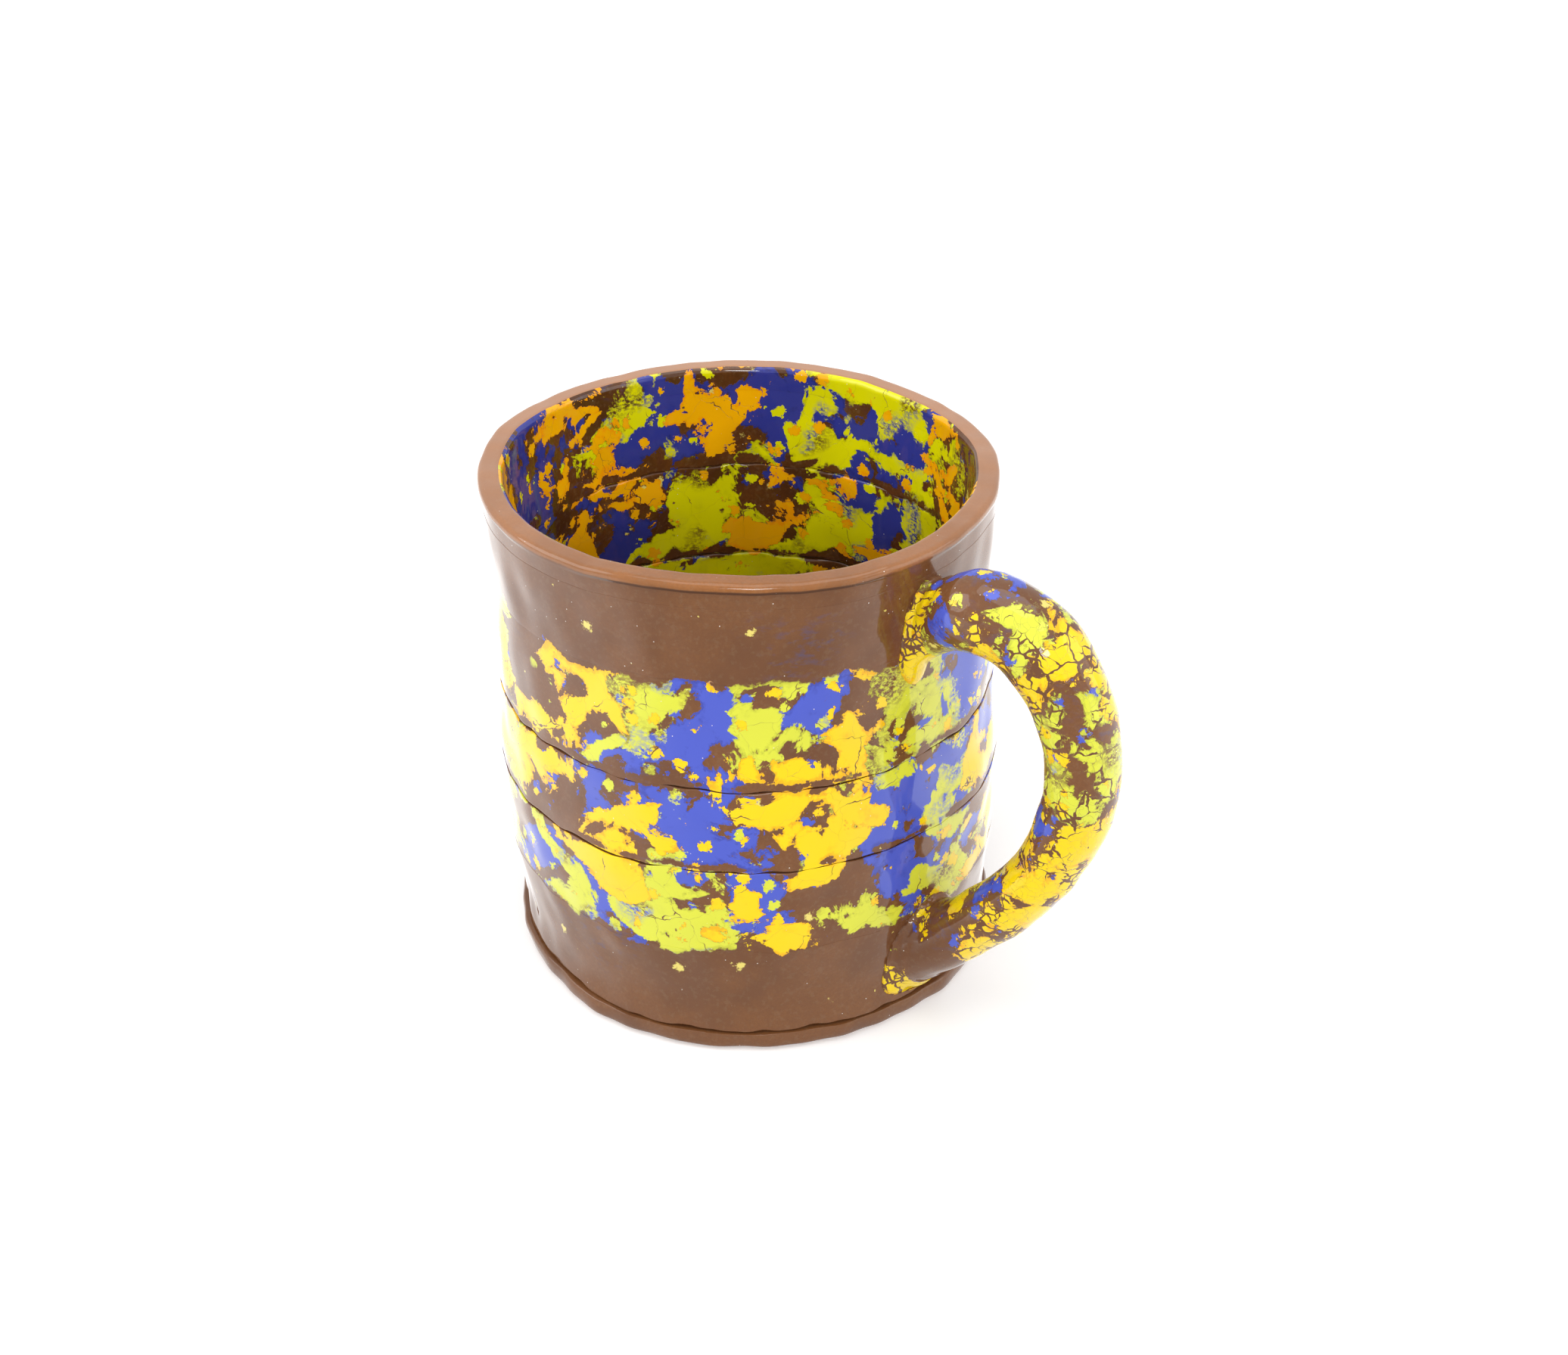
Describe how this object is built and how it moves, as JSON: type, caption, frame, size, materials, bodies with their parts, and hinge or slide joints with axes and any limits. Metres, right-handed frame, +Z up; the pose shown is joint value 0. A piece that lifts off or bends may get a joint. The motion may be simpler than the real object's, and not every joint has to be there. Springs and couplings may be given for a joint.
{
  "type": "clay mug",
  "caption": "Hand-built clay drinking mug of stacked strips on a base slab, with rolled-in gold, lime and blue flakes, a rounded rim coil and a coil handle luted to the wall.",
  "frame": {"origin": "centre of the mug's flat underside, on the axis of the wall", "axes": "+Z up along the wall's axis, +X from the axis towards the handle"},
  "size_m": [0.125, 0.0924, 0.095],
  "materials": {
    "brown_clay": "brown clay under a clear gloss glaze",
    "mottled_clay": "brown clay that carries rolled-in gold, lime and blue flakes, under a clear gloss glaze",
    "rim_clay": "lighter reddish-brown clay under a clear gloss glaze",
    "handle_clay": "brown clay that carries crackled flakes, mostly yellow, under a clear gloss glaze",
    "slip": "dark fired slip",
    "gold_flake": "thin flakes of golden-yellow clay with torn edges, under a clear gloss glaze",
    "lime_flake": "thin flakes of lime-yellow clay with torn edges, under a clear gloss glaze",
    "blue_flake": "thin flakes of royal-blue clay with torn edges, under a clear gloss glaze"
  },
  "bodies": {
    "root": {"base_slab": "brown_clay", "foot_strip": "brown_clay", "lower_strip": "mottled_clay", "middle_strip": "mottled_clay", "upper_strip": "mottled_clay", "collar_strip": "brown_clay", "rim_coil": "rim_clay", "corner_coil": "brown_clay", "slip_seams": "slip", "handle_coil": "handle_clay", "upper_join_coil": "handle_clay", "lower_join_coil": "handle_clay", "lower_gold_flakes": "gold_flake", "lower_lime_flakes": "lime_flake", "lower_blue_flakes": "blue_flake", "middle_gold_flakes": "gold_flake", "middle_lime_flakes": "lime_flake", "middle_blue_flakes": "blue_flake", "upper_gold_flakes": "gold_flake", "upper_lime_flakes": "lime_flake", "upper_blue_flakes": "blue_flake", "lining_gold_flakes": "gold_flake", "lining_lime_flakes": "lime_flake", "lining_blue_flakes": "blue_flake", "handle_gold_flakes": "gold_flake", "handle_lime_flakes": "lime_flake", "handle_blue_flakes": "blue_flake"}
  },
  "joints": []
}
